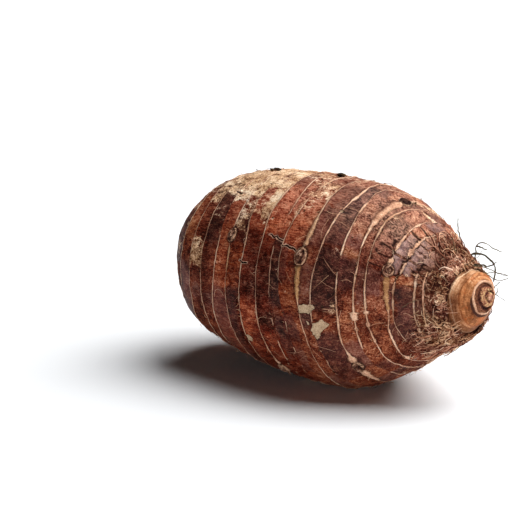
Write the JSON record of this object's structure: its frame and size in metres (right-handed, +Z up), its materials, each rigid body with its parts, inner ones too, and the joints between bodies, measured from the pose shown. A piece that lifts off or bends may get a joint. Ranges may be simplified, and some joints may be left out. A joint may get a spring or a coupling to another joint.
{
  "type": "taro root",
  "caption": "Whole taro corm lying on its side: barrel body with leaf-scar rings and eyes, tapering to a fibrous collar and a short neck.",
  "frame": {"origin": "on the surface the root lies on, under the middle of its bounding box", "axes": "+X along the root towards its neck, +Z up"},
  "size_m": [0.1866, 0.1066, 0.1027],
  "materials": {
    "skin": "dry bark-like corm skin with raised tan rings",
    "leaf_base": "dried leaf bases, matt",
    "fibre": "dry plant fibre, matt"
  },
  "bodies": {
    "root": {"corm": "skin", "leaf_bases": "leaf_base", "crown_fibres": "fibre"}
  },
  "joints": []
}
